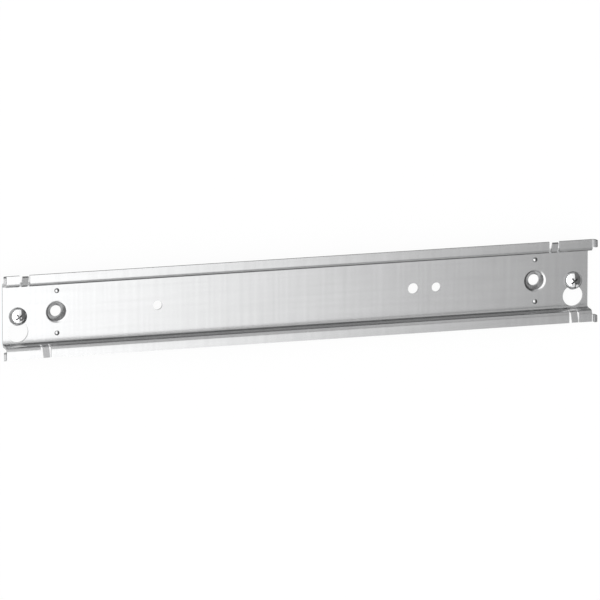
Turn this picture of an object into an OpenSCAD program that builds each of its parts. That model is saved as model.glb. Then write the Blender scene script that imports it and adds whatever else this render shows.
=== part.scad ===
// Top-hat mounting rail, 35 mm wide and 7.5 mm deep, cut to length and stamped for
// an enclosure: keyholes with their screws, dished screw holes with locating pips,
// plain holes, sprung tabs in both lips and a bent-up lug at each lip's end.
// The rail lies open side up on the backs of its two dished holes.
// X runs along the rail, Y across it and Z up, out of the channel.

/* [Rail section] */
// Length of the rail over its lips
rail_l = 252; // [200:0.5:600]
// Width over both lips
rail_w = 35; // [34.7:0.1:35.3]
// Depth from the back of the web to the face of the lips
rail_h = 7.5; // [7.1:0.1:7.5]
// Thickness of the sheet
sheet_t = 1; // [0.8:0.05:1.2]
// Clear width inside the channel
channel_w = 25; // [24:0.1:26]
// Inside radius of the bend between web and wall
root_r = 1; // [0.4:0.1:1.5]
// Inside radius of the bend between wall and lip
fold_r = 0.8; // [0.3:0.1:1]

/* [Dished screw holes] */
// Distance of each dished hole from the end of the rail
dish_inset = 23; // [18:0.1:30]
// Diameter of the dish where its rounded lip leaves the web
dish_d = 9.7; // [9.3:0.1:11]
// How deep the dish is pressed
dish_depth = 1.9; // [1.7:0.1:2.2]
// Radius that rounds the lip of the dish
dish_lip_r = 1.5; // [1:0.1:1.6]
// Diameter of the hole in the dish
dish_hole_d = 4.7; // [4:0.1:5.2]
// Width of the flat that the press leaves round the back of the hole
dish_rim_w = 0.5; // [0.3:0.1:0.8]
// Distance of each locating pip from its dished hole
pip_offset = 8.9; // [8:0.1:9.5]
// Diameter of a locating pip
pip_d = 2.1; // [1.6:0.1:3]
// Height of a locating pip
pip_h = 0.5; // [0.3:0.05:0.7]

/* [Keyholes] */
// Distance of each keyhole from the end of the rail
key_inset = 6.4; // [5:0.05:10]
// Diameter of a keyhole's round end
key_d = 8.8; // [8:0.1:9]
// Distance from the screw to the middle of the keyhole's round end
key_drop = 6.5; // [6:0.1:6.9]
// How far the screws lie below the middle of the rail
key_shift = 0.95; // [0.6:0.05:1.2]

/* [Screws] */
// Diameter of a screw's shank
screw_d = 4; // [3:0.1:4.5]
// Clearance between the shank and each side of its slot
screw_gap = 0.25; // [0.1:0.05:0.4]
// Diameter of the screw head
head_d = 7.5; // [6.5:0.1:8]
// Height of the screw head
head_h = 2.3; // [1.8:0.1:3]
// Height of the straight side of the screw head
head_side = 0.6; // [0.3:0.1:1]
// Length of the shank below its head
shank_l = 2.8; // [1.5:0.1:2.9]
// Length of a driver slot across the head
drive_l = 3.4; // [2.6:0.1:4.2]
// Width of a driver slot
drive_w = 0.75; // [0.5:0.05:1.2]
// Depth of the driver cross below the top of the head
drive_depth = 1.4; // [1:0.1:1.8]
// Turn of the driver cross, in degrees
drive_turn = 35; // [0:5:90]

/* [Plain holes] */
// Distance of the two small holes from the middle of the rail
small_x = 60; // [52:0.5:72]
// Diameter of the small holes
small_d = 3.9; // [3:0.1:4.5]
// Distance between the right small hole and the larger hole beside it
pair_pitch = 10; // [6:0.1:14]
// Diameter of the larger hole beside it
pair_d = 4.5; // [3:0.1:5]

/* [Lip tabs] */
// Distance of the outer tabs from the end of the lip
tab_outer = 7.75; // [6.8:0.05:9]
// Distance of the inner tabs from the end of the lip
tab_inner = 16.65; // [14.5:0.05:20]
// Width of a tab
tab_w = 2.6; // [2:0.1:3]
// Width of the cut on each side of a tab
cut_w = 0.9; // [0.8:0.05:1.3]
// How far the cuts run down from the face of the lip
cut_depth = 2.5; // [2:0.1:3]
// How far a tab springs up out of the lip's plane, in degrees
tab_lift = 25; // [10:1:40]

/* [End lugs] */
// Width of a lug, from the edge of the lip inwards
lug_w = 3.1; // [2.4:0.1:3.5]
// Height of a lug's inner corner above the face of the lip
lug_h = 1.9; // [1.4:0.1:4]
// Inside radius of the bend under a lug
lug_r = 0.4; // [0.3:0.1:0.8]
// How far a lug is bent up, in degrees
lug_turn = 78; // [60:1:90]
// Radius that rounds the two corners of a lug's tip
lug_corner_r = 0.5; // [0.2:0.1:0.8]

/* [Hidden] */
$fn = 64;
eps = 0.02;                               // overlap that makes neighbouring bodies one
web_back = dish_depth;                    // the dishes' rims stand on z = 0
web_face = web_back + sheet_t;
lip_face = web_back + rail_h;
lip_back = lip_face - sheet_t;
wall_in = channel_w / 2;
fold_z = lip_back - fold_r;               // the middle of the bend under the lip
fold_y = wall_in + sheet_t + fold_r;
root_z = web_face + root_r;               // the middle of the bend at the web
root_y = wall_in - root_r;
key_y = -key_shift - key_drop;
slot_w = screw_d + 2 * screw_gap;
key_x = rail_l / 2 - key_inset;
dish_x = rail_l / 2 - dish_inset;
tab_inner_x = rail_l / 2 - tab_inner;
tab_outer_x = rail_l / 2 - tab_outer;
tab_reach = rail_w / 2 - fold_y + (fold_r + sheet_t / 2) * tab_lift * PI / 180;

// Bent sheet seen from the side: a ring's sector from angle a0 to a1 about the origin.
module bend(r, a0, a1) {
    intersection() {
        difference() {
            circle(r + sheet_t);
            circle(r);
        }
        polygon([[0, 0], for (i = [0:2]) let (a = a0 + (a1 - a0) * i / 2)
            3 * (r + sheet_t) * [cos(a), sin(a)]]);
    }
}

// One side of the top-hat section, with Y across and Z up.
module half_section() {
    translate([-eps, web_back]) square([root_y + 2 * eps, sheet_t]);
    translate([root_y, root_z]) bend(root_r, -90, 0);
    translate([wall_in, root_z - eps]) square([sheet_t, fold_z - root_z + 2 * eps]);
    translate([fold_y, fold_z]) bend(fold_r, 90, 180);
    translate([fold_y - eps, lip_back]) square([rail_w / 2 - fold_y + eps, sheet_t]);
}

// Turns a drawing in the Y-Z plane into a bar of length l about x = 0.
module along_x(l) {
    rotate([90, 0, 90]) linear_extrude(l, center = true) children();
}

module channel() {
    along_x(rail_l) {
        half_section();
        mirror([1, 0]) half_section();
    }
}

// The pocket that frees a tab, drawn at x = 0 in the lip at +Y.
module tab_pocket() {
    translate([-tab_w / 2 - cut_w, wall_in - 1, lip_face - cut_depth])
        cube([tab_w + 2 * cut_w, rail_w / 2 - wall_in + 2, cut_depth + 1]);
}

// A tab stands in its pocket: its bend stops short by tab_lift.
module tab() {
    along_x(tab_w) {
        translate([wall_in, lip_face - cut_depth - eps])
            square([sheet_t, fold_z - lip_face + cut_depth + 2 * eps]);
        translate([fold_y, fold_z]) {
            bend(fold_r, 90 + tab_lift, 180);
            rotate(tab_lift) translate([-eps, fold_r]) square([tab_reach + eps, sheet_t]);
        }
    }
}

// A plate with its two far corners rounded, lying on X-Y with its root along Y = 0.
module rounded_tip(w, l, r) {
    linear_extrude(sheet_t) {
        square([w, l - r]);
        translate([r, 0]) square([w - 2 * r, l]);
        for (x = [r, w - r]) translate([x, l - r]) circle(r);
    }
}

// A lug goes on from the lip's end at +X in the lip at +Y, bends up and ends in a plate.
module lug() {
    rise = lug_h - lug_r * (1 - cos(lug_turn));
    translate([rail_l / 2, rail_w / 2, lip_face]) {
        rotate([90, 0, 0]) linear_extrude(lug_w) {
            translate([-eps, -sheet_t]) square([2 * eps, sheet_t]);
            translate([0, lug_r]) bend(lug_r, -90, lug_turn - 90);
        }
        translate([0, 0, lug_r]) rotate([0, 90 - lug_turn, 0])
            translate([lug_r, 0, -eps]) rotate([90, 0, -90]) mirror([0, 0, 1])
                rounded_tip(lug_w, rise / sin(lug_turn) + eps, lug_corner_r);
    }
}

// Puts a feature of the lip at +Y at each of its places, at both lips.
module in_both_lips() {
    for (turn = [0, 180]) rotate(turn) {
        translate([tab_inner_x, 0, 0]) children();
        translate([-tab_outer_x, 0, 0]) children();
    }
}
// The pressed face of a dish, from the web inwards: its rounded lip, then a straight
// cone that leaves the lip without a corner and ends at the hole.
dish_run = dish_d / 2 - dish_hole_d / 2;
dish_fall = dish_depth - dish_lip_r;
dish_slope = atan2(dish_fall, dish_run) + asin(dish_lip_r / norm([dish_run, dish_fall]));
dish_face = [
    for (i = [0:8]) let (a = dish_slope * i / 8)
        [dish_d / 2 - dish_lip_r * sin(a), web_face - dish_lip_r * (1 - cos(a))],
    [dish_hole_d / 2, web_face - dish_depth]
];

// The dish's own metal: its back is its face moved down by the sheet and out by the rim.
module dish_metal() {
    back = [for (i = [len(dish_face) - 1:-1:0]) dish_face[i] + [dish_rim_w, -sheet_t]];
    rotate_extrude() polygon(concat(
        dish_face,
        [[dish_hole_d / 2, 0]],
        back,
        [[dish_d / 2 + dish_rim_w, web_face]]
    ));
}

module pip(solid) {
    // a ball's cap: the ball's radius follows from the pip's width and height
    r = (pip_d * pip_d / 4 + pip_h * pip_h) / (2 * pip_h);
    translate([0, 0, (solid ? web_face : web_back) + pip_h - r]) intersection() {
        sphere(r);
        translate([0, 0, r - pip_h - 0.1]) cylinder(d = pip_d + 1, h = pip_h + 1);
    }
}

module at_dishes() {
    for (x = [-1, 1] * dish_x) translate([x, 0, 0]) children();
}

module at_pips() {
    at_dishes() for (y = [-1, 1] * pip_offset) translate([0, y, 0]) children();
}

module through(d) {
    translate([0, 0, web_back - 1]) cylinder(d = d, h = sheet_t + 2);
}

module keyhole() {
    translate([0, key_y, 0]) through(key_d);
    translate([0, -key_shift, 0]) through(slot_w);
    translate([-slot_w / 2, key_y, web_back - 1])
        cube([slot_w, key_drop, sheet_t + 2]);
}

module rail() {
    color("#b9bbbd") {
        difference() {
            union() {
                difference() {
                    channel();
                    in_both_lips() tab_pocket();
                    at_dishes() through(dish_d + 2 * dish_rim_w - 2 * eps);
                }
                in_both_lips() tab();
                for (turn = [0, 180]) rotate(turn) {
                    lug();
                    mirror([0, 1, 0]) lug();
                }
                at_dishes() dish_metal();
                at_pips() pip(true);
            }
            at_pips() pip(false);
            for (x = [-1, 1] * key_x) translate([x, 0, 0]) keyhole();
            for (x = [-1, 1] * small_x) translate([x, 0, 0]) through(small_d);
            translate([small_x - pair_pitch, 0, 0]) through(pair_d);
        }
    }
}

// A pan head screw, head down to shank, seated on the web about the origin's axis.
module screw() {
    dome_h = head_h - head_side;
    ball_r = (head_d * head_d / 4 + dome_h * dome_h) / (2 * dome_h);
    color("#c9cbcd") difference() {
        union() {
            translate([0, 0, web_face - shank_l]) cylinder(d = screw_d, h = shank_l + eps);
            translate([0, 0, web_face]) cylinder(d = head_d, h = head_side);
            translate([0, 0, web_face]) intersection() {
                translate([0, 0, head_h - ball_r]) sphere(ball_r);
                cylinder(d = head_d, h = head_h + 1);
            }
        }
        for (a = [0, 90]) rotate(a + drive_turn)
            translate([-drive_l / 2, -drive_w / 2, web_face + head_h - drive_depth])
                cube([drive_l, drive_w, drive_depth + 1]);
    }
}

module screw_left() {
    translate([-key_x, -key_shift, 0]) screw();
}

module screw_right() {
    translate([key_x, -key_shift, 0]) screw();
}

rail();
screw_left();
screw_right();
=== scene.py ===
import math

import bmesh
import bpy
from mathutils import Matrix, Vector

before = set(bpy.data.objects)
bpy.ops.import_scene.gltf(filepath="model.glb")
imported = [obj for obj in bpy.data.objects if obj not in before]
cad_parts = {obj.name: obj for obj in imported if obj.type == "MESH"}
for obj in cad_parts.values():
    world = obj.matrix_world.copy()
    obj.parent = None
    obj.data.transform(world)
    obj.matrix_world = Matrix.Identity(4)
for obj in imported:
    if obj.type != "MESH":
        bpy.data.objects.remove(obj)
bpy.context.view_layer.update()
MM = 0.001

# ---------------------------------------------------------------- shader helpers


class Value:
    """A node's number output, so that a formula on it adds its Math nodes."""

    def __init__(self, tree, socket):
        self.tree, self.socket = tree, socket

    def math(self, operation, *others):
        node = self.tree.nodes.new("ShaderNodeMath")
        node.operation = operation
        for place, item in zip(node.inputs, (self, *others)):
            if isinstance(item, Value):
                self.tree.links.new(item.socket, place)
            else:
                place.default_value = item
        return Value(self.tree, node.outputs[0])

    def __add__(self, other):
        return self.math("ADD", other)

    __radd__ = __add__

    def __sub__(self, other):
        return self.math("SUBTRACT", other)

    def __rsub__(self, other):
        return self.math("MULTIPLY", -1.0).math("ADD", other)

    def __mul__(self, other):
        return self.math("MULTIPLY", other)

    __rmul__ = __mul__

    def larger(self, other):
        return self.math("MAXIMUM", other)


class Shader:
    """A material's node tree, with one method that adds any node."""

    def __init__(self, name):
        self.material = bpy.data.materials.new(name)
        self.material.use_nodes = True
        self.tree = self.material.node_tree
        self.tree.nodes.clear()

    def add(self, kind, settings=None, **sockets):
        node = self.tree.nodes.new("ShaderNode" + kind)
        for key, item in (settings or {}).items():
            setattr(node, key, item)
        for key, item in sockets.items():
            self.set(node, key.replace("_", " "), item)
        return node

    def set(self, node, socket_name, item):
        place = next(s for s in node.inputs if s.enabled and s.name == socket_name)
        if isinstance(item, Value):
            item = item.socket
        if isinstance(item, bpy.types.NodeSocket):
            self.tree.links.new(item, place)
        else:
            place.default_value = item

    def value(self, node, output=0):
        enabled = [socket for socket in node.outputs if socket.enabled]
        return Value(self.tree, enabled[output])

    def step(self, value, start, end):
        """0 before start, 1 after end, with a soft passage between."""
        node = self.add("MapRange", {"interpolation_type": "SMOOTHSTEP"},
                        Value=value, From_Min=start, From_Max=end)
        return self.value(node)

    def ramp(self, factor, stops):
        """Greys at places from 0 to 1; they may be brighter than 1."""
        top = max(level for place, level in stops)
        node = self.add("ValToRGB", Fac=factor)
        while len(node.color_ramp.elements) < len(stops):
            node.color_ramp.elements.new(0.5)
        for element, (place, level) in zip(node.color_ramp.elements, stops):
            element.position = place
            element.color = (level / top, level / top, level / top, 1)
        return self.value(node) * top

    def noise(self, place, scale, detail=2.0, stretch=(1, 1, 1)):
        across = self.add("Mapping", Vector=place, Scale=stretch)
        node = self.add("TexNoise", Vector=across.outputs[0], Scale=scale, Detail=detail)
        return self.value(node)

    def parts(self, place):
        split = self.add("SeparateXYZ", Vector=place)
        return (self.value(split, i) for i in range(3))

    def finish(self, surface):
        output = self.add("OutputMaterial")
        self.tree.links.new(surface.outputs[0], output.inputs["Surface"])
        return self.material


# ---------------------------------------------------------------- camera

LIP_FACE = 9.4 * MM          # height of the lips' faces over the level the rail lies on
AIM = Vector((0.004 * MM, -0.867 * MM, LIP_FACE - 3 * MM))      # the middle of the view
CAMERA_TURN = math.radians(16.62)      # the camera stands left of the rail's own normal
CAMERA_RISE = math.radians(12.795)     # and over it
CAMERA_ROLL = math.radians(0.053)
CAMERA_FAR = 4.2475
SENSOR, LENS = 36, 617.55              # both in millimetres


def make_camera():
    away = Vector((
        -math.sin(CAMERA_TURN) * math.cos(CAMERA_RISE),
        math.sin(CAMERA_RISE),
        math.cos(CAMERA_TURN) * math.cos(CAMERA_RISE),
    ))
    right = (-away).cross(Vector((0, 1, 0))).normalized()
    up = right.cross(-away)
    turned_right = right * math.cos(CAMERA_ROLL) + up * math.sin(CAMERA_ROLL)
    turned_up = up * math.cos(CAMERA_ROLL) - right * math.sin(CAMERA_ROLL)
    data = bpy.data.cameras.new("camera")
    data.sensor_width, data.lens = SENSOR, LENS
    data.clip_start, data.clip_end = 0.1, 20
    camera = bpy.data.objects.new("camera", data)
    bpy.context.scene.collection.objects.link(camera)
    turn = Matrix((turned_right, turned_up, away)).transposed()
    camera.matrix_world = Matrix.Translation(AIM + away * CAMERA_FAR) @ turn.to_4x4()
    bpy.context.scene.camera = camera


# ---------------------------------------------------------------- materials

LUG_TOP = 11.3 * MM
SCREW_X, SCREW_Y = 119.6 * MM, -0.95 * MM    # the right screw's axis; the left one mirrors it
HEAD_SIDE_TOP = 3.5 * MM                     # where a screw head's upright side ends
BALL_R, BALL_Z = 4.985 * MM, 0.215 * MM      # the ball that the heads' domes are cut from
ACROSS, ALONG = (520, 16, 30), (16, 520, 30)     # stretches that turn noise into fine marks


def zinc(s, place, level, roughness, marks, shade=1.0, dull=0.0):
    """Bright zinc on rolled sheet: clouded, with faint marks across and along the rail."""
    across = s.noise(place, 1.0, 3.0, stretch=ACROSS)
    along = s.noise(place, 1.0, 3.0, stretch=ALONG)
    clouds = s.noise(place, 90.0)
    tone = (1 + marks * (across - 0.5) + 0.7 * marks * (along - 0.5)
            + 0.5 * marks * (clouds - 0.5))
    colour = s.add("Mix", {"data_type": "RGBA", "blend_type": "MULTIPLY"}, Factor=1.0)
    colour.inputs[6].default_value = (level, level * 1.004, level * 1.01, 1)
    # shade multiplies the colour down: painted shade, where a caller passes it
    s.tree.links.new((tone * shade).socket, colour.inputs[7])
    skin = s.add("BsdfPrincipled", Metallic=1.0)
    s.set(skin, "Base Color", colour.outputs[2])
    s.set(skin, "Roughness", roughness + 0.05 * clouds + dull)
    return s.finish(skin)


def sheet_zinc():
    """The rail's zinc, duller at the lugs' sheared tips."""
    s = Shader("zinc_sheet")
    place = s.add("TexCoord").outputs["Object"]
    _, _, z = s.parts(place)
    lug_tip = s.step(z, LUG_TOP - 0.35 * MM, LUG_TOP - 0.25 * MM)
    return zinc(s, place, 0.40, 0.20, 0.14, dull=lug_tip * 0.4)


def screw_zinc():
    """The screws' brighter zinc, with painted shade in the cross recess and on the heads' sides.
    """
    s = Shader("zinc_screw")
    place = s.add("TexCoord").outputs["Object"]
    x, y, z = s.parts(place)
    to_middle = s.add("CombineXYZ", X=x.math("ABSOLUTE") - SCREW_X, Y=y - SCREW_Y,
                      Z=z - BALL_Z)
    away = s.value(s.add("VectorMath", {"operation": "LENGTH"}, Vector=to_middle.outputs[0]))
    # painted shade: darker the deeper a point lies inside the dome's ball, which takes in the
    # cross recess and the shank as well
    recess_shade = s.step(BALL_R - away, 0.12 * MM, 0.8 * MM)
    # painted shade: a dark ring on the heads' upright sides, and everything lower, below
    # HEAD_SIDE_TOP
    side_shade = 1 - s.step(z, HEAD_SIDE_TOP - 0.1 * MM, HEAD_SIDE_TOP + 0.1 * MM)
    return zinc(s, place, 0.90, 0.07, 0.02, shade=1 - (0.9 * recess_shade).larger(0.65 * side_shade))


# ---------------------------------------------------------------- studio

TENT_R = 0.8
WALL_GREYS = [        # from the tent's front (-Y) to its back
    (0.0, 0.68), (0.12, 0.72), (0.5, 0.82), (0.6, 0.72), (0.72, 1.0), (1.0, 1.0),
]
ROOF_GREYS = [        # from the tent's left (-X) to its right
    (0.0, 2.4), (0.40, 2.9), (0.56, 2.85), (0.60, 2.30), (0.64, 1.68), (0.68, 1.11),
    (0.72, 0.92), (0.80, 0.92),
]
STRIP_LIFT = 0.36     # a lighter strip low on the front, for the tabs at the back
LEFT_DIM = 0.60       # how far the left wall is dimmed, under the roof
FAR_DIM = 0.84        # and the right end
CARD_GREY = 0.35
FLOOR_HALF, FLOOR_GREY = 6.0, 0.93
FLOOR_GLOW = 0.94     # share of plain white in what the camera sees of the floor
CAMERA_RAY, GLOSSY_RAY, TRANSMISSION_RAY = 0, 3, 6       # outputs of a Light Path node
SOFTBOX_SIZE, SOFTBOX_POWER = 1.5, 6
SOFTBOX_PLACE = (-0.6, 0.3, 1.5)


def seen_by_gloss_only(thing):
    """Stage for reflections: no camera, shadow or matt surface takes notice of it."""
    thing.visible_camera = False
    thing.visible_diffuse = False
    thing.visible_shadow = False
    thing.visible_transmission = False


def make_tent():
    """A light tent that only reflections see: a white roof that fades to the right.

    x, y and z are a point's place on it, in tent radii.
    """
    s = Shader("tent")
    place = s.add("SeparateXYZ", Vector=s.add("TexCoord").outputs["Object"])
    x, y, z = (s.value(place, i) * (1 / TENT_R) for i in range(3))
    grey = s.ramp((y + 1) * 0.5, WALL_GREYS)
    strip = (1 - s.step(y, -0.80, -0.74)) * s.step(z, 0.36, 0.40)
    strip = strip * (1 - s.step(z, 0.48, 0.52))
    roof = s.step(y, -0.58, -0.34) * (1 - s.step(y, -0.06, 0.16))
    left = 1 - s.step(x, -0.05, 0.08)
    high = s.step(z, 0.50, 0.55)
    low = (1 - s.step(y, -0.62, -0.50)) * (1 - s.step(z, 0.34, 0.42))
    far = s.step(x, 0.47, 0.55) * (1 - low)
    fade = s.ramp((x + 1) * 0.5, ROOF_GREYS)
    dull = (grey + STRIP_LIFT * strip) * (1 - LEFT_DIM * left)
    level = dull + roof.larger(left) * high * (fade - dull)
    level = level * (1 - FAR_DIM * far)
    glow = s.add("Emission", Strength=1.0)
    s.tree.links.new(level.socket, glow.inputs["Color"])
    material = s.finish(glow)
    mesh = bpy.data.meshes.new("tent")
    bm = bmesh.new()
    bmesh.ops.create_uvsphere(bm, u_segments=96, v_segments=48, radius=TENT_R)
    bmesh.ops.delete(bm, geom=[v for v in bm.verts if v.co.z < -0.001], context="VERTS")
    bm.to_mesh(mesh)
    bm.free()
    mesh.materials.append(material)
    tent = bpy.data.objects.new("tent", mesh)
    bpy.context.scene.collection.objects.link(tent)
    seen_by_gloss_only(tent)


def make_card():
    """A grey card on the floor behind the rail and to its right, seen by reflections only."""
    s = Shader("card")
    card_colour = (CARD_GREY, CARD_GREY, CARD_GREY, 1)
    material = s.finish(s.add("Emission", Color=card_colour, Strength=1.0))
    mesh = bpy.data.meshes.new("card")
    end, side_shade, far, z = 127 * MM, 17.6 * MM, TENT_R, 0.02 * MM
    mesh.from_pydata([
        (-end, side_shade, z), (end, side_shade, z), (far, side_shade, z), (far, far, z), (-end, far, z),
        (end, -far, z), (far, -far, z),
    ], [], [(0, 1, 2, 3, 4), (5, 6, 2, 1)])
    mesh.materials.append(material)
    card = bpy.data.objects.new("card", mesh)
    bpy.context.scene.collection.objects.link(card)
    seen_by_gloss_only(card)


def make_floor():
    """A pale floor that is white to the eye and still takes the shadow."""
    s = Shader("floor")
    light = s.add("LightPath")
    seen = s.value(light, CAMERA_RAY).larger(s.value(light, GLOSSY_RAY))
    seen = seen.larger(s.value(light, TRANSMISSION_RAY))
    matt = s.add("BsdfDiffuse", Color=(FLOOR_GREY, FLOOR_GREY, FLOOR_GREY, 1))
    glow = s.add("Emission", Color=(1, 1, 1, 1), Strength=1.0)
    mix = s.add("MixShader")
    s.set(mix, "Fac", seen * FLOOR_GLOW)
    s.tree.links.new(matt.outputs[0], mix.inputs[1])
    s.tree.links.new(glow.outputs[0], mix.inputs[2])
    material = s.finish(mix)
    mesh = bpy.data.meshes.new("floor")
    w = FLOOR_HALF
    mesh.from_pydata([(-w, -w, 0), (w, -w, 0), (w, w, 0), (-w, w, 0)], [], [(0, 1, 2, 3)])
    mesh.materials.append(material)
    floor = bpy.data.objects.new("floor", mesh)
    bpy.context.scene.collection.objects.link(floor)


def make_lights():
    """A white sky and one softbox over the left, which reflections don't see."""
    world = bpy.data.worlds.new("studio")
    bpy.context.scene.world = world
    world.use_nodes = True
    world.node_tree.nodes["Background"].inputs["Color"].default_value = (1, 1, 1, 1)
    world.node_tree.nodes["Background"].inputs["Strength"].default_value = 1.0
    data = bpy.data.lights.new("softbox", "AREA")
    data.shape, data.size, data.size_y = "RECTANGLE", SOFTBOX_SIZE, SOFTBOX_SIZE
    data.energy = SOFTBOX_POWER
    lamp = bpy.data.objects.new("softbox", data)
    lamp.location = SOFTBOX_PLACE
    lamp.rotation_euler = (Vector((0, 0, 0)) - lamp.location).to_track_quat("-Z", "Y").to_euler()
    lamp.visible_glossy = False
    bpy.context.scene.collection.objects.link(lamp)


make_camera()
sheet = sheet_zinc()
screws = screw_zinc()
for name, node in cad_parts.items():
    node.data.materials.clear()
    node.data.materials.append(sheet if name == "rail" else screws)
make_tent()
make_card()
make_floor()
make_lights()

scene = bpy.context.scene
scene.view_settings.view_transform = "Standard"
